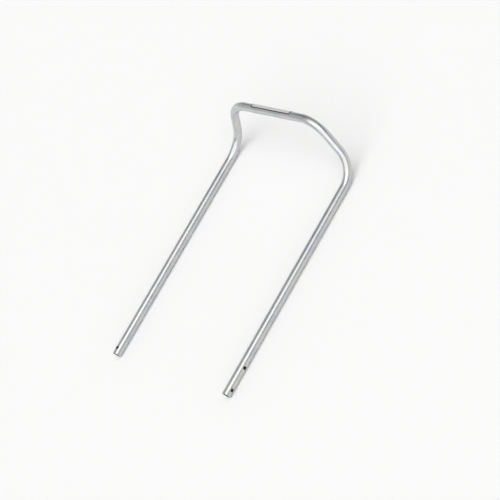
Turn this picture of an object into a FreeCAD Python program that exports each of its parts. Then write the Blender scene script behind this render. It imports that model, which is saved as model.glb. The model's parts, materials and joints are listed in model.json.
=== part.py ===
import FreeCAD, Part
import math
import os

from FreeCAD import Vector

# Upper handle of a walk-behind mower: one steel tube with four bends, drilled at its lower ends,
# and a plain label on the grip bar. The legs lie along Y on the ground plane and the grip frame
# rises from their far end. The origin is on the ground, in the middle of the handle's outline.

# Tube stock
tube_diameter = 25.4
tube_wall = 1.65
end_chamfer = 0.4

# Centreline, measured between the corner points of the straight runs; one die makes all four bends
leg_spacing = 508.0
leg_length = 732.0
grip_height = 160.0
grip_bar_length = 362.0
knee_angle = 72.0
knee_radius = 88.9
corner_radius = 88.9

# Bolt holes in the lower ends of the legs
bolt_hole_diameter = 10.3
bolt_hole_from_end = 19.0
second_hole_spacing = 70.0

# Label wrapped over the grip bar, its middle turned up from the direction of the legs
label_length = 170.0
label_width = 29.0
label_thickness = 0.25
label_glue = 0.05
label_direction = 39.0
label_corner_radius = 2.0

# Places that follow from the sizes above
tube_radius = tube_diameter / 2
label_inside = tube_radius + label_glue
label_outside = label_inside + label_thickness
slope = math.radians(knee_angle)
bar_reach = grip_height * math.cos(slope)
knee_y = (leg_length - bar_reach - tube_radius) / 2
end_y = knee_y - leg_length
bar_y = knee_y + bar_reach
bar_z = tube_radius + grip_height * math.sin(slope)

left_end = Vector(-leg_spacing / 2, end_y, tube_radius)
left_knee = Vector(-leg_spacing / 2, knee_y, tube_radius)
left_corner = Vector(-grip_bar_length / 2, bar_y, bar_z)
right_corner = Vector(grip_bar_length / 2, bar_y, bar_z)
right_knee = Vector(leg_spacing / 2, knee_y, tube_radius)
right_end = Vector(leg_spacing / 2, end_y, tube_radius)


def bend_points(before, corner, after, radius):
    """Start, middle and end of the arc that rounds one corner of the centreline."""
    back = (before - corner).normalize()
    ahead = (after - corner).normalize()
    half_angle = back.getAngle(ahead) / 2
    tangent_length = radius / math.tan(half_angle)
    inward = (back + ahead).normalize()
    middle = corner + inward * (radius / math.sin(half_angle) - radius)
    return corner + back * tangent_length, middle, corner + ahead * tangent_length


def rounded_path(points, radii):
    """Straight runs joined by tangent arcs, one radius for each inner point."""
    edges = []
    run_start = points[0]
    for index, radius in enumerate(radii, start=1):
        start, middle, end = bend_points(points[index - 1], points[index], points[index + 1], radius)
        edges.append(Part.LineSegment(run_start, start).toShape())
        edges.append(Part.Arc(start, middle, end).toShape())
        run_start = end
    edges.append(Part.LineSegment(run_start, points[-1]).toShape())
    return Part.Wire(edges)


def swept_bar(path, start, direction, radius):
    """Round bar of one radius along the path."""
    section = Part.Wire(Part.makeCircle(radius, start, direction))
    return path.makePipeShell([section], True, False)


def drill(leg_end, from_end, direction):
    """Cutter for a hole right through a leg, square to it."""
    entry = leg_end + Vector(0, from_end, 0) - direction * tube_radius
    return Part.makeCylinder(bolt_hole_diameter / 2, tube_diameter, entry, direction)


def handle_tube():
    points = [left_end, left_knee, left_corner, right_corner, right_knee, right_end]
    path = rounded_path(points, [knee_radius, corner_radius, corner_radius, knee_radius])
    along_leg = left_knee - left_end
    outside = swept_bar(path, left_end, along_leg, tube_radius)
    inside = swept_bar(path, left_end, along_leg, tube_radius - tube_wall)
    tube = outside.cut(inside)
    rims = [edge for edge in tube.Edges if abs(edge.BoundBox.YMax - end_y) < tube_wall]
    tube = tube.makeChamfer(end_chamfer, rims)
    across = Vector(1, 0, 0)
    upright = Vector(0, 0, 1)
    holes = [
        drill(right_end, bolt_hole_from_end, across),
        drill(right_end, bolt_hole_from_end + second_hole_spacing, across),
        drill(left_end, bolt_hole_from_end, upright),
    ]
    return tube.cut(holes)


def on_bar(radius, angle):
    """Point at the left edge of the label, at an angle round the grip bar from the legs' direction."""
    return Vector(-label_length / 2, bar_y + radius * math.cos(angle), bar_z + radius * math.sin(angle))


def grip_label():
    middle = math.radians(label_direction)
    half_wrap = label_width / label_inside / 2
    front = middle + half_wrap
    rear = middle - half_wrap
    under = [on_bar(label_inside, angle) for angle in (front, middle, rear)]
    over = [on_bar(label_outside, angle) for angle in (rear, middle, front)]
    outline = Part.Wire([
        Part.Arc(*under).toShape(),
        Part.LineSegment(under[-1], over[0]).toShape(),
        Part.Arc(*over).toShape(),
        Part.LineSegment(over[-1], under[0]).toShape(),
    ])
    film = Part.Face(outline).extrude(Vector(label_length, 0, 0))
    ends = [edge for edge in film.Edges if edge.BoundBox.XLength < label_thickness]
    corners = [edge for edge in ends if isinstance(edge.Curve, Part.Line)]
    return film.makeFillet(label_corner_radius, corners)


nodes = {
    "handle_tube": handle_tube(),
    "grip_label": grip_label(),
}

os.makedirs("parts", exist_ok=True)
for name, shape in nodes.items():
    shape.exportStep(f"parts/{name}.step")
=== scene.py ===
import json
import math
from bisect import bisect_right
from dataclasses import dataclass

import bmesh
import bpy
from mathutils import Matrix, Quaternion, Vector


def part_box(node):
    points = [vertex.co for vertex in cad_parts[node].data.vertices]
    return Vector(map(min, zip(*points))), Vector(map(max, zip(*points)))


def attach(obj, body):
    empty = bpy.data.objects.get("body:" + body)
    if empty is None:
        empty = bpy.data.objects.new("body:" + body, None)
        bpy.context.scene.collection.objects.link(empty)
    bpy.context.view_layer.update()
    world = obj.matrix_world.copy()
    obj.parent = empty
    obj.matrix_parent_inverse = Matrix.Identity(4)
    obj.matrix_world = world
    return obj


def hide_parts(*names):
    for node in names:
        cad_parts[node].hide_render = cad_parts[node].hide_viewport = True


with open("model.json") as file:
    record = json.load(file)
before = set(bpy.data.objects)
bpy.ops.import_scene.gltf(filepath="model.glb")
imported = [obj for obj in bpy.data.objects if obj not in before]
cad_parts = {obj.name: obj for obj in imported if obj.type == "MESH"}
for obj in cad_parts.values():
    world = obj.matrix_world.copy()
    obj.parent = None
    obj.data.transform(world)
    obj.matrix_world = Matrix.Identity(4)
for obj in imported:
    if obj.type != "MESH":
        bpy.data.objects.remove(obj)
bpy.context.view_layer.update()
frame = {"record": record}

# Upper handle of a walk-behind mower: a plated steel tube with four bends, lying on its legs,
# and a plain label wrapped over the grip bar. All lengths are in metres, in the CAD's frame.

MM = 0.001

# Places and sizes that the frame gives
MOUNTS = {mount["name"]: mount for mount in frame["record"]["mounts"]}
LEFT_HOLE = Vector(MOUNTS["left_leg_bolt_hole"]["pos_m"])
RIGHT_HOLES = Vector(MOUNTS["right_leg_bolt_holes"]["pos_m"])
RIGHT_HOLE_SPACING = MOUNTS["right_leg_bolt_holes"]["dims"]["spacing_x_mm"] * MM
HOLE_RADIUS = MOUNTS["left_leg_bolt_hole"]["dims"]["r_mm"] * MM
TUBE_LOW, TUBE_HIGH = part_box("handle_tube")
LABEL_LOW, LABEL_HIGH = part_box("grip_label")

# Tube stock and bends
TUBE_RADIUS = LEFT_HOLE.z
TUBE_WALL = 1.65 * MM
BORE_RADIUS = TUBE_RADIUS - TUBE_WALL
END_CHAMFER = 0.4 * MM
HOLE_BEVEL = 0.3 * MM
GRIP_BAR_LENGTH = 362 * MM
KNEE_ANGLE = math.radians(72)
KNEE_RADIUS = 88.9 * MM
CORNER_RADIUS = 88.9 * MM
BAR_Y = TUBE_HIGH.y - TUBE_RADIUS
BAR_Z = TUBE_HIGH.z - TUBE_RADIUS

# Weld line of the tube stock: a low bead inside and a faint line outside
WELD_ANGLE = math.radians(225)
WELD_HALF_WIDTH = math.radians(6)
WELD_HEIGHT = 0.45 * MM

# Label
LABEL_LENGTH = LABEL_HIGH.x - LABEL_LOW.x
LABEL_WIDTH = 29 * MM
LABEL_THICKNESS = 0.25 * MM
LABEL_GLUE = 0.05 * MM
LABEL_UNDER = TUBE_RADIUS + LABEL_GLUE
LABEL_OVER = LABEL_UNDER + LABEL_THICKNESS
LABEL_DIRECTION = math.radians(39)
LABEL_CORNER = 2.0 * MM
LABEL_BORDER = 3.0 * MM
PRINT_CORNER = 1.5 * MM
PRINT_EDGE = 0.15 * MM

# Mesh divisions
RING_POINTS = 96
STRAIGHT_STEP = 25 * MM
BEND_STEP = math.radians(3)
PATCH_CELLS = 18
PATCH_RINGS = (0.3, 0.6, 0.85)
LABEL_COLUMNS = 34
LABEL_CORNER_STEPS = 8
LABEL_ROWS = 40
SHARP_ANGLE = math.radians(30)

# Flat map of each piece's surface, for textures made from its material
MAP_NAME = "OFBake"
MAP_ROWS = 4
MAP_MARGIN = 0.03
OUTSIDE_SHARE = 0.68
EDGE_FOLD = 1.04

# Patterns in the materials: cells are variations in a metre, levels are where one begins and is full
NOISE_LEVELS = (0.3, 0.7)

# Plated steel
COOL_PLATING = (0.53, 0.55, 0.58, 1)
WARM_PLATING = (0.61, 0.605, 0.59, 1)
CLOUD_CELLS = (26, 26, 26)
CLOUD_LEVELS = (0.35, 0.65)
CLOUD_ROUGHNESS = (0.0, 0.08)
DRAW_LINE_COLOUR = (0.42, 0.43, 0.45, 1)
DRAW_LINE_CELLS = (3200, 3200, 18)
DRAW_LINE_LEVELS = (0.55, 0.75)
DRAW_LINE_SHARE = (0.0, 0.25)
DRAW_LINE_ROUGHNESS = (0.17, 0.27)
DRAW_LINE_DEPTH = 0.02 * MM
WELD_COLOUR = (0.40, 0.40, 0.39, 1)
WELD_SHARE = 0.35
PINHOLE_COLOUR = (0.25, 0.25, 0.25, 1)
PINHOLE_CELLS = (420, 420, 420)
PINHOLE_LEVELS = (0.76, 0.80)
PINHOLE_SHARE = (0.0, 0.6)
BEND_GRAIN_CELLS = (1400, 1400, 1100)
BEND_GRAIN_DEPTH = 0.03 * MM

# Raw steel inside the tube
RAW_STEEL = (0.22, 0.22, 0.22, 1)
STAINED_STEEL = (0.13, 0.115, 0.10, 1)
STAIN_CELLS = (90, 90, 40)
STAIN_LEVELS = (0.4, 0.65)
RAW_ROUGHNESS = (0.45, 0.62)
RAW_GRAIN_CELLS = (2200, 2200, 500)
RAW_GRAIN_DEPTH = 0.03 * MM

# Label film and its printed border
CLEAN_FILM = (0.66, 0.66, 0.65, 1)
HANDLED_FILM = (0.60, 0.60, 0.585, 1)
HANDLING_CELLS = (60, 60, 60)
HANDLING_LEVELS = (0.35, 0.7)
FILM_ROUGHNESS = (0.30, 0.42)
PEEL_CELLS = (900, 900, 900)
PEEL_DEPTH = 0.015 * MM
PRINT_COLOUR = (0.03, 0.03, 0.033, 1)

# Camera at the drawing's viewpoint, for a square image
CAMERA_LENS = 150.0
SENSOR_WIDTH = 36.0
VIEW_AIM = Vector((0.0402, 0.0193, 0.0177))
VIEW_DISTANCE = 5.886
VIEW_AZIMUTH = math.radians(74.68)
VIEW_ELEVATION = math.radians(38.53)
VIEW_ROLL = math.radians(-50.45)

# Studio
FLOOR_SIZE = 40.0
FLOOR_COLOUR = (0.96, 0.96, 0.955, 1)
HORIZON_LIGHT = 0.97
UPPER_LIGHT = 0.30
UPPER_HEIGHT = 0.4

# Lamps: the direction that each shines from, its strength and how broad it looks, in degrees
LAMPS = {
    "key": ((0.45, -0.50, 0.74), 2.0, 90),
    "leg_light": ((0.25, 0.20, 0.95), 0.45, 60),
    "bar_light": ((-0.75, -0.35, 0.55), 0.35, 70),
}


@dataclass
class Stretch:
    """A straight run or one bend of the centreline. The frame's columns are up, across and ahead."""
    begin: float
    length: float
    start: Vector
    frame: Matrix
    axis: Vector = None
    radius: float = 0.0

    def at(self, distance):
        """Point and frame at a distance along the whole centreline."""
        travel = distance - self.begin
        ahead = self.frame.col[2]
        if self.axis is None:
            return self.start + ahead * travel, self.frame
        turn = Matrix.Rotation(travel / self.radius, 3, self.axis)
        inward = self.axis.cross(ahead) * self.radius
        return self.start + inward - turn @ inward, turn @ self.frame

    def strain(self, distance, offset, ahead):
        """1 where bending stretches the metal most, -1 where it presses it most, 0 on straight runs."""
        if self.axis is None:
            return 0.0
        outward = ahead.cross(self.axis)
        fade = math.sin(math.pi * (distance - self.begin) / self.length)
        return offset.normalized().dot(outward) * fade


def corner_points():
    """Corner points of the centreline, from the left leg's end to the right leg's end."""
    half_spacing = RIGHT_HOLES.x
    knee_y = BAR_Y - (BAR_Z - TUBE_RADIUS) / math.tan(KNEE_ANGLE)
    right_side = [
        Vector((GRIP_BAR_LENGTH / 2, BAR_Y, BAR_Z)),
        Vector((half_spacing, knee_y, TUBE_RADIUS)),
        Vector((half_spacing, TUBE_LOW.y, TUBE_RADIUS)),
    ]
    left_side = [Vector((-point.x, point.y, point.z)) for point in reversed(right_side)]
    return left_side + right_side


def centreline():
    """The stretches of the tube's centreline, in order."""
    corners = corner_points()
    radii = (KNEE_RADIUS, CORNER_RADIUS, CORNER_RADIUS, KNEE_RADIUS)
    stretches = []
    position = corners[0]
    travelled = 0.0
    up = Vector((0, 0, 1))
    across = Vector((1, 0, 0))
    along_leg = Vector((0, 1, 0))
    axes = Matrix((up, across, along_leg)).transposed()
    for corner, after, radius in zip(corners[1:], corners[2:], radii):
        ahead = axes.col[2].copy()
        onward = (after - corner).normalized()
        turn = ahead.angle(onward)
        setback = radius * math.tan(turn / 2)
        run = (corner - position).length - setback
        stretches.append(Stretch(travelled, run, position, axes))
        travelled += run
        bend_start = corner - ahead * setback
        axis = ahead.cross(onward).normalized()
        stretches.append(Stretch(travelled, radius * turn, bend_start, axes, axis, radius))
        travelled += radius * turn
        axes = Matrix.Rotation(turn, 3, axis) @ axes
        position = corner + onward * setback
    stretches.append(Stretch(travelled, (corners[-1] - position).length, position, axes))
    return stretches


def bolt_holes(total_length):
    """Distance along the centreline and angle round the tube of each hole in the wall."""
    left = LEFT_HOLE.y - TUBE_LOW.y
    holes = [(left, 0.0), (left, math.pi)]
    for shift in (-RIGHT_HOLE_SPACING / 2, RIGHT_HOLE_SPACING / 2):
        right = total_length - (RIGHT_HOLES.y + shift - TUBE_LOW.y)
        holes += [(right, math.pi / 2), (right, math.pi * 3 / 2)]
    return holes


def bore_radius(angle):
    """Radius of the tube's inside, less at the weld bead."""
    off_weld = (angle - WELD_ANGLE) / WELD_HALF_WIDTH
    return BORE_RADIUS - WELD_HEIGHT * max(0.0, 1 - off_weld * off_weld)


class TubeMesh:
    """Points and faces of the bent tube, and where each point lies on the straight stock."""

    def __init__(self):
        self.stretches = centreline()
        self.begins = [stretch.begin for stretch in self.stretches]
        self.length = self.stretches[-1].begin + self.stretches[-1].length
        self.holes = bolt_holes(self.length)
        self.patch_reach = TUBE_RADIUS * math.sin(math.pi * PATCH_CELLS / RING_POINTS)
        self.rings = self.ring_distances()
        self.points = []
        self.stock_points = []
        self.bend_strains = []
        self.faces = []
        self.dull_faces = set()
        self.grid = {}

    def ring_distances(self):
        """Distances of the rings of points: even over each stretch, and close together at holes."""
        marks = {END_CHAMFER, self.length - END_CHAMFER}
        marks.update(self.begins[1:])
        for distance, angle in self.holes:
            marks.update((distance - self.patch_reach, distance + self.patch_reach))
        marks = sorted(marks)
        rings = [marks[0]]
        for start, end in zip(marks, marks[1:]):
            cells = self.cells_between(start, end)
            rings += [start + (end - start) * step / cells for step in range(1, cells + 1)]
        return rings

    def cells_between(self, start, end):
        """Number of cells along the tube between two marks."""
        middle = (start + end) / 2
        if any(abs(middle - distance) < self.patch_reach for distance, angle in self.holes):
            return PATCH_CELLS
        stretch = self.stretch_at(middle)
        if stretch.axis is None:
            return math.ceil((end - start) / STRAIGHT_STEP)
        return math.ceil((end - start) / stretch.radius / BEND_STEP)

    def stretch_at(self, distance):
        """The stretch that a distance along the tube lies in."""
        return self.stretches[max(bisect_right(self.begins, distance) - 1, 0)]

    def add_point(self, distance, angle, radius):
        """Adds a point, given as it lies on the straight stock, and returns its index."""
        stretch = self.stretch_at(distance)
        middle, axes = stretch.at(distance)
        up_part = radius * math.cos(angle)
        across_part = radius * math.sin(angle)
        offset = axes.col[0] * up_part + axes.col[1] * across_part
        self.points.append(middle + offset)
        self.stock_points.append((up_part, across_part, distance))
        self.bend_strains.append(stretch.strain(distance, offset, axes.col[2]))
        return len(self.points) - 1

    def grid_point(self, ring, place, outside):
        """Index of a point of the regular grid on one wall, made when first asked for."""
        place %= RING_POINTS
        key = (ring, place, outside)
        if key not in self.grid:
            angle = math.tau * place / RING_POINTS
            radius = TUBE_RADIUS if outside else bore_radius(angle)
            self.grid[key] = self.add_point(self.rings[ring], angle, radius)
        return self.grid[key]

    def add_face(self, corners, dull=False):
        """Adds a face, noted as dull where it is raw steel."""
        if dull:
            self.dull_faces.add(len(self.faces))
        self.faces.append(corners)

    def join_loops(self, loop, next_loop, dull=False):
        """Adds a band of faces between two loops of as many points."""
        count = len(loop)
        for here in range(count):
            after = (here + 1) % count
            self.add_face((loop[here], loop[after], next_loop[after], next_loop[here]), dull)

    def patch_corner(self, hole):
        """First ring and first place round the tube of the square of cells that a hole takes up."""
        distance, angle = hole
        edge = distance - self.patch_reach
        ring = min(range(len(self.rings)), key=lambda index: abs(self.rings[index] - edge))
        place = round(angle / math.tau * RING_POINTS) - PATCH_CELLS // 2
        return ring, place

    def hole_cells(self):
        """Cells of the grid that the holes take up."""
        taken = set()
        for hole in self.holes:
            first_ring, first_place = self.patch_corner(hole)
            for ring in range(first_ring, first_ring + PATCH_CELLS):
                places = range(first_place, first_place + PATCH_CELLS)
                taken.update((ring, place % RING_POINTS) for place in places)
        return taken

    def add_walls(self):
        """The outside and inside of the tube, apart from the squares of cells round the holes."""
        taken = self.hole_cells()
        for ring in range(len(self.rings) - 1):
            for place in range(RING_POINTS):
                if (ring, place) in taken:
                    continue
                cell = ((ring, place), (ring, place + 1), (ring + 1, place + 1), (ring + 1, place))
                outside = [self.grid_point(*corner, True) for corner in cell]
                inside = [self.grid_point(*corner, False) for corner in reversed(cell)]
                self.add_face(outside)
                self.add_face(inside, dull=True)

    def add_end(self, ring, distance):
        """The cut end of a leg, with its two chamfers."""
        places = range(RING_POINTS)
        angles = [math.tau * place / RING_POINTS for place in places]
        outside = [self.grid_point(ring, place, True) for place in places]
        inside = [self.grid_point(ring, place, False) for place in places]
        outer_edge = []
        for angle in angles:
            outer_edge.append(self.add_point(distance, angle, TUBE_RADIUS - END_CHAMFER))
        inner_edge = []
        for angle in angles:
            inner_edge.append(self.add_point(distance, angle, bore_radius(angle) + END_CHAMFER))
        self.join_loops(outside, outer_edge)
        self.join_loops(outer_edge, inner_edge)
        self.join_loops(inner_edge, inside)

    def hole_loop(self, hole, directions, radius, wall_radius, drop=0.0):
        """Loop of points at a radius round a hole's axis, on a wall of the tube or a drop below it."""
        distance, angle = hole
        loop = []
        for direction in directions:
            along = radius * math.cos(direction)
            aside = radius * math.sin(direction)
            height = math.sqrt(wall_radius ** 2 - aside ** 2) - drop
            turn = math.atan2(aside, height)
            loop.append(self.add_point(distance + along, angle + turn, math.hypot(aside, height)))
        return loop

    def patch_border(self, hole):
        """Grid places round the edge of a hole's square of cells."""
        first_ring, first_place = self.patch_corner(hole)
        last_ring = first_ring + PATCH_CELLS
        last_place = first_place + PATCH_CELLS
        border = [(first_ring, place) for place in range(first_place, last_place)]
        border += [(ring, last_place) for ring in range(first_ring, last_ring)]
        border += [(last_ring, place) for place in range(last_place, first_place, -1)]
        border += [(ring, first_place) for ring in range(last_ring, first_ring, -1)]
        return border

    def patch_loops(self, hole, outside, rim_radius):
        """Loops from the edge of a hole's square of cells to the rim of the hole, on one wall."""
        distance, angle = hole
        wall_radius = TUBE_RADIUS if outside else BORE_RADIUS
        border = self.patch_border(hole)
        offsets = []
        for ring, place in border:
            turn = math.tau * place / RING_POINTS - angle
            offsets.append((self.rings[ring] - distance, wall_radius * math.sin(turn)))
        directions = [math.atan2(aside, along) for along, aside in offsets]
        loops = [[self.grid_point(ring, place, outside) for ring, place in border]]
        for share in PATCH_RINGS:
            loop = []
            for (along, aside), direction in zip(offsets, directions):
                near_along = along + (rim_radius * math.cos(direction) - along) * share
                near_aside = aside + (rim_radius * math.sin(direction) - aside) * share
                turn = math.asin(near_aside / wall_radius)
                loop.append(self.add_point(distance + near_along, angle + turn, wall_radius))
            loops.append(loop)
        loops.append(self.hole_loop(hole, directions, rim_radius, wall_radius))
        return loops, directions

    def add_hole(self, hole):
        """The walls round one hole, its bevelled outer rim and its bore through the tube's wall."""
        rim_radius = HOLE_RADIUS + HOLE_BEVEL
        outer_loops, directions = self.patch_loops(hole, True, rim_radius)
        inner_loops, _ = self.patch_loops(hole, False, HOLE_RADIUS)
        bore_top = self.hole_loop(hole, directions, HOLE_RADIUS, TUBE_RADIUS, drop=HOLE_BEVEL)
        for loop, next_loop in zip(outer_loops, outer_loops[1:]):
            self.join_loops(loop, next_loop)
        self.join_loops(outer_loops[-1], bore_top)
        self.join_loops(bore_top, inner_loops[-1])
        for loop, next_loop in zip(inner_loops, inner_loops[1:]):
            self.join_loops(next_loop, loop, dull=True)

    def build(self):
        self.add_walls()
        self.add_end(0, 0.0)
        self.add_end(len(self.rings) - 1, self.length)
        for hole in self.holes:
            self.add_hole(hole)


def mesh_object(name, points, faces):
    """Smooth-shaded object from points and faces, with its faces turned outwards."""
    mesh = bpy.data.meshes.new(name)
    mesh.from_pydata(points, [], faces)
    work = bmesh.new()
    work.from_mesh(mesh)
    bmesh.ops.recalc_face_normals(work, faces=work.faces)
    work.to_mesh(mesh)
    work.free()
    mesh.shade_smooth()
    mesh.set_sharp_from_angle(angle=SHARP_ANGLE)
    piece = bpy.data.objects.new(name, mesh)
    bpy.context.scene.collection.objects.link(piece)
    return piece


def store_places(piece, name, places):
    """Keeps a place for each point of the mesh, for its material to read."""
    values = piece.data.attributes.new(name, "FLOAT_VECTOR", "POINT").data
    values.foreach_set("vector", [number for place in places for number in place])


def in_margin(share):
    """A share of a row or strip of the map, kept off its edges."""
    return MAP_MARGIN + (1 - 2 * MAP_MARGIN) * share


def map_tube(piece, tube):
    """Lays the tube flat in rows along its length, with a strip each for its outside and inside."""
    layer = piece.data.uv_layers.new(name=MAP_NAME)
    row_length = tube.length / MAP_ROWS
    for face in piece.data.polygons:
        inside = face.index in tube.dull_faces
        strip_start = OUTSIDE_SHARE if inside else 0.0
        strip_width = 1 - OUTSIDE_SHARE if inside else OUTSIDE_SHARE
        places = [Vector(tube.stock_points[point]) for point in face.vertices]
        middle = sum(places, Vector()) / len(places)
        facing = math.atan2(middle.y, middle.x)
        row = min(int(middle.z / row_length), MAP_ROWS - 1)
        for corner, (up_part, across_part, distance) in zip(face.loop_indices, places):
            turn = math.remainder(math.atan2(across_part, up_part) - facing, math.tau)
            along = in_margin(distance / row_length - row)
            around = in_margin((facing + turn) / math.tau + 0.5)
            layer.uv[corner].vector = (along, (row + strip_start + strip_width * around) / MAP_ROWS)


def add_tube():
    """The bent and drilled tube, plated outside and raw inside."""
    tube = TubeMesh()
    tube.build()
    piece = mesh_object("bent_tube", tube.points, tube.faces)
    store_places(piece, "stock_place", tube.stock_points)
    strains = piece.data.attributes.new("bend_strain", "FLOAT", "POINT").data
    strains.foreach_set("value", tube.bend_strains)
    piece.data.materials.append(plated_steel())
    piece.data.materials.append(raw_steel())
    for index in tube.dull_faces:
        piece.data.polygons[index].material_index = 1
    map_tube(piece, tube)
    return piece


def label_columns():
    """Distances of the label's columns of points from its middle, close together at its corners."""
    straight = LABEL_LENGTH / 2 - LABEL_CORNER
    middle = [straight * (2 * step / LABEL_COLUMNS - 1) for step in range(LABEL_COLUMNS + 1)]
    turns = [math.pi / 2 * step / LABEL_CORNER_STEPS for step in range(1, LABEL_CORNER_STEPS + 1)]
    corner = [straight + LABEL_CORNER * math.sin(turn) for turn in turns]
    return [-along for along in reversed(corner)] + middle + corner


def label_half_width(along):
    """Half the label's width at a distance from its middle."""
    into_corner = max(0.0, abs(along) - (LABEL_LENGTH / 2 - LABEL_CORNER))
    rounded = math.sqrt(max(0.0, LABEL_CORNER ** 2 - into_corner ** 2))
    return LABEL_WIDTH / 2 - LABEL_CORNER + rounded


def label_points(columns):
    """Points of the film's under and upper side, and where each lies on the flat label."""
    points = []
    places = []
    for radius in (LABEL_UNDER, LABEL_OVER):
        for along in columns:
            half_width = label_half_width(along)
            for row in range(LABEL_ROWS + 1):
                around = (2 * row / LABEL_ROWS - 1) * half_width
                angle = LABEL_DIRECTION + around / LABEL_UNDER
                y = BAR_Y + radius * math.cos(angle)
                z = BAR_Z + radius * math.sin(angle)
                points.append((along, y, z))
                places.append((along, around, radius - LABEL_UNDER))
    return points, places


def label_faces(column_count):
    """Faces of the film's two sides and of the edge between them."""

    def index(side, column, row):
        return (side * column_count + column) * (LABEL_ROWS + 1) + row

    last = column_count - 1
    faces = []
    for side in (0, 1):
        for column in range(last):
            for row in range(LABEL_ROWS):
                cell = ((column, row), (column + 1, row), (column + 1, row + 1), (column, row + 1))
                faces.append([index(side, *corner) for corner in cell])
    edge = [(column, 0) for column in range(last)]
    edge += [(last, row) for row in range(LABEL_ROWS)]
    edge += [(column, LABEL_ROWS) for column in range(last, 0, -1)]
    edge += [(0, row) for row in range(LABEL_ROWS, 0, -1)]
    for here, after in zip(edge, edge[1:] + edge[:1]):
        faces.append([index(0, *here), index(0, *after), index(1, *after), index(1, *here)])
    return faces


def map_label(piece, places):
    """Lays the label's two sides flat, with its edge folded out round the upper side."""
    layer = piece.data.uv_layers.new(name=MAP_NAME)
    for face in piece.data.polygons:
        side = 1 if any(places[point][2] > 0 for point in face.vertices) else 0
        for corner, point in zip(face.loop_indices, face.vertices):
            along, around, height = places[point]
            fold = EDGE_FOLD if side == 1 and height == 0 else 1.0
            across = in_margin(fold * along / LABEL_LENGTH + 0.5)
            up = in_margin(fold * around / LABEL_WIDTH + 0.5)
            layer.uv[corner].vector = (across, (side + up) / 2)


def add_label():
    """Thin film wrapped over the middle of the grip bar."""
    columns = label_columns()
    points, places = label_points(columns)
    piece = mesh_object("label_film", points, label_faces(len(columns)))
    store_places(piece, "label_place", places)
    piece.data.materials.append(label_vinyl())
    map_label(piece, places)
    return piece


class Nodes:
    """Adds nodes to a tree. An input given as a socket is linked, any other value is set."""

    def __init__(self, tree):
        self.tree = tree

    def set(self, node, inputs):
        for name, value in inputs.items():
            if isinstance(value, bpy.types.NodeSocket):
                self.tree.links.new(value, node.inputs[name])
            else:
                node.inputs[name].default_value = value

    def add(self, kind, inputs, **settings):
        node = self.tree.nodes.new(kind)
        for name, value in settings.items():
            setattr(node, name, value)
        self.set(node, inputs)
        return node

    def attribute(self, name, kind):
        return self.add("ShaderNodeAttribute", {}, attribute_name=name).outputs[kind]

    def vector(self, operation, *values):
        return self.add("ShaderNodeVectorMath", dict(enumerate(values)), operation=operation)

    def math(self, operation, *values):
        return self.add("ShaderNodeMath", dict(enumerate(values)), operation=operation).outputs[0]

    def noise(self, place, cells, detail=2.0):
        """Noise that varies as many times in a metre as the cells say, in each direction."""
        stretched = self.vector("MULTIPLY", place, cells).outputs[0]
        inputs = {"Vector": stretched, "Scale": 1.0, "Detail": detail}
        return self.add("ShaderNodeTexNoise", inputs).outputs[0]

    def spread(self, value, levels, results=(0.0, 1.0)):
        """A value between two levels, moved to between two results."""
        inputs = {"Value": value}
        inputs["From Min"], inputs["From Max"] = levels
        inputs["To Min"], inputs["To Max"] = results
        return self.add("ShaderNodeMapRange", inputs).outputs["Result"]

    def blend(self, share, colour, other):
        """From one colour to another."""
        inputs = {0: share, 6: colour, 7: other}
        return self.add("ShaderNodeMix", inputs, data_type="RGBA").outputs[2]

    def bump(self, height, depth, strength, under=None):
        """Normal of a height, laid over another bump where one is given."""
        inputs = {"Height": height, "Distance": depth, "Strength": strength}
        if under is not None:
            inputs["Normal"] = under
        return self.add("ShaderNodeBump", inputs).outputs["Normal"]


def new_material(name):
    """A node material, its nodes and its surface shader."""
    material = bpy.data.materials.new(name)
    material.use_nodes = True
    shader = material.node_tree.nodes["Principled BSDF"]
    return material, Nodes(material.node_tree), shader


def weld_line(nodes, place):
    """1 along the weld of the tube stock and 0 away from it."""
    toward = (math.cos(WELD_ANGLE) / TUBE_RADIUS, math.sin(WELD_ANGLE) / TUBE_RADIUS, 0)
    closeness = nodes.vector("DOT_PRODUCT", place, toward).outputs["Value"]
    return nodes.spread(closeness, (math.cos(WELD_HALF_WIDTH), 1.0))


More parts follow.
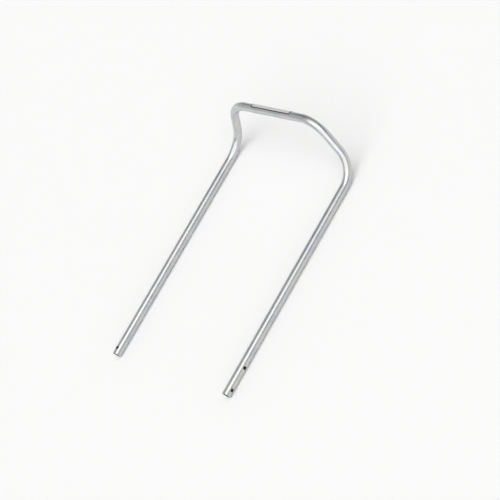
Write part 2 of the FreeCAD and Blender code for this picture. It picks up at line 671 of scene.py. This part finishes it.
def plated_steel():
    """Bright plating over drawn tube: fine draw lines, a cloudy tint, pinholes, a faint weld line,
    and a grainier surface where the bends stretched the steel."""
    material, nodes, shader = new_material("plated_steel")
    place = nodes.attribute("stock_place", "Vector")
    stretched = nodes.spread(nodes.attribute("bend_strain", "Fac"), (0.0, 1.0))
    draw_lines = nodes.noise(place, DRAW_LINE_CELLS)
    clouds = nodes.noise(place, CLOUD_CELLS, detail=4.0)
    grain = nodes.noise(place, BEND_GRAIN_CELLS)
    pits = nodes.noise(place, PINHOLE_CELLS, detail=1.0)
    pinholes = nodes.spread(pits, PINHOLE_LEVELS, PINHOLE_SHARE)

    cloud_share = nodes.spread(clouds, CLOUD_LEVELS)
    clouded = nodes.blend(cloud_share, COOL_PLATING, WARM_PLATING)
    line_share = nodes.spread(draw_lines, DRAW_LINE_LEVELS, DRAW_LINE_SHARE)
    lined = nodes.blend(line_share, clouded, DRAW_LINE_COLOUR)
    weld_share = nodes.math("MULTIPLY", weld_line(nodes, place), WELD_SHARE)
    welded = nodes.blend(weld_share, lined, WELD_COLOUR)
    colour = nodes.blend(pinholes, welded, PINHOLE_COLOUR)

    line_roughness = nodes.spread(draw_lines, NOISE_LEVELS, DRAW_LINE_ROUGHNESS)
    cloud_roughness = nodes.spread(clouds, NOISE_LEVELS, CLOUD_ROUGHNESS)
    roughness = nodes.math("ADD", line_roughness, cloud_roughness)
    line_bump = nodes.bump(draw_lines, DRAW_LINE_DEPTH, strength=0.25)
    bend_grain = nodes.math("MULTIPLY", grain, stretched)
    nodes.set(shader, {
        "Base Color": colour,
        "Metallic": 1.0,
        "Roughness": roughness,
        "Normal": nodes.bump(bend_grain, BEND_GRAIN_DEPTH, strength=0.5, under=line_bump),
    })
    return material


def raw_steel():
    """Dull, lightly stained steel inside the tube, where plating hardly reaches."""
    material, nodes, shader = new_material("raw_steel")
    place = nodes.attribute("stock_place", "Vector")
    stains = nodes.noise(place, STAIN_CELLS, detail=5.0)
    grain = nodes.noise(place, RAW_GRAIN_CELLS)
    stain_share = nodes.spread(stains, STAIN_LEVELS)
    nodes.set(shader, {
        "Base Color": nodes.blend(stain_share, RAW_STEEL, STAINED_STEEL),
        "Metallic": 1.0,
        "Roughness": nodes.spread(stains, NOISE_LEVELS, RAW_ROUGHNESS),
        "Normal": nodes.bump(grain, RAW_GRAIN_DEPTH, strength=0.4),
    })
    return material


def label_border(nodes, place):
    """1 in the border round the label's edge and 0 inside it, with rounded inner corners."""
    inset = LABEL_BORDER + PRINT_CORNER
    inner_half_size = (LABEL_LENGTH / 2 - inset, LABEL_WIDTH / 2 - inset, LABEL_WIDTH)
    from_middle = nodes.vector("ABSOLUTE", place).outputs[0]
    past_inner = nodes.vector("SUBTRACT", from_middle, inner_half_size).outputs[0]
    outward = nodes.vector("MAXIMUM", past_inner, (0, 0, 0)).outputs[0]
    distance = nodes.vector("LENGTH", outward).outputs["Value"]
    return nodes.spread(distance, (PRINT_CORNER - PRINT_EDGE, PRINT_CORNER))


def label_vinyl():
    """Pale satin film with a plain dark printed border."""
    material, nodes, shader = new_material("label_vinyl")
    place = nodes.attribute("label_place", "Vector")
    border = label_border(nodes, place)
    peel = nodes.noise(place, PEEL_CELLS)
    handling = nodes.noise(place, HANDLING_CELLS, detail=4.0)
    handled_share = nodes.spread(handling, HANDLING_LEVELS)
    film = nodes.blend(handled_share, CLEAN_FILM, HANDLED_FILM)
    nodes.set(shader, {
        "Base Color": nodes.blend(border, film, PRINT_COLOUR),
        "Roughness": nodes.spread(handling, NOISE_LEVELS, FILM_ROUGHNESS),
        "Normal": nodes.bump(peel, PEEL_DEPTH, strength=0.3),
    })
    return material


def add_floor():
    """Plain pale floor that the legs lie on."""
    bpy.ops.mesh.primitive_plane_add(size=FLOOR_SIZE)
    floor = bpy.context.object
    floor.name = "floor"
    material, nodes, shader = new_material("floor")
    nodes.set(shader, {"Base Color": FLOOR_COLOUR, "Roughness": 0.7, "Specular IOR Level": 0.2})
    floor.data.materials.append(material)
    return floor


def light_world():
    """Pale near the horizon, darker above."""
    world = bpy.data.worlds.new("studio")
    world.use_nodes = True
    bpy.context.scene.world = world
    nodes = Nodes(world.node_tree)
    direction = nodes.add("ShaderNodeTexCoord", {}).outputs["Generated"]
    height = nodes.add("ShaderNodeSeparateXYZ", {0: direction}).outputs["Z"]
    level = nodes.spread(height, (0.0, UPPER_HEIGHT), (HORIZON_LIGHT, UPPER_LIGHT))
    nodes.set(world.node_tree.nodes["Background"], {"Strength": level, "Color": (1, 1, 1, 1)})


def light_studio():
    """The world, and broad lamps far away, so that the floor is lit evenly."""
    light_world()
    for name, (direction, strength, breadth) in LAMPS.items():
        lamp = bpy.data.lights.new(name, "SUN")
        lamp.energy = strength
        lamp.angle = math.radians(breadth)
        holder = bpy.data.objects.new(name, lamp)
        holder.rotation_mode = "QUATERNION"
        holder.rotation_quaternion = (-Vector(direction)).to_track_quat("-Z", "Y")
        bpy.context.scene.collection.objects.link(holder)


def add_camera():
    """Camera that looks along the drawing's line of sight."""
    level = math.cos(VIEW_ELEVATION)
    back = Vector((
        math.sin(VIEW_AZIMUTH) * level,
        -math.cos(VIEW_AZIMUTH) * level,
        math.sin(VIEW_ELEVATION),
    ))
    camera = bpy.data.objects.new("camera", bpy.data.cameras.new("camera"))
    camera.data.lens = CAMERA_LENS
    camera.data.sensor_width = SENSOR_WIDTH
    camera.rotation_mode = "QUATERNION"
    camera.rotation_quaternion = Quaternion(back, VIEW_ROLL) @ (-back).to_track_quat("-Z", "Y")
    camera.location = VIEW_AIM + back * VIEW_DISTANCE
    bpy.context.scene.collection.objects.link(camera)
    bpy.context.scene.camera = camera


def main():
    tube = add_tube()
    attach(tube, "root")
    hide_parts("handle_tube")

    label = add_label()
    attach(label, "root")
    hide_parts("grip_label")

    add_floor()
    light_studio()
    add_camera()
    bpy.context.scene.view_settings.view_transform = "Standard"


main()
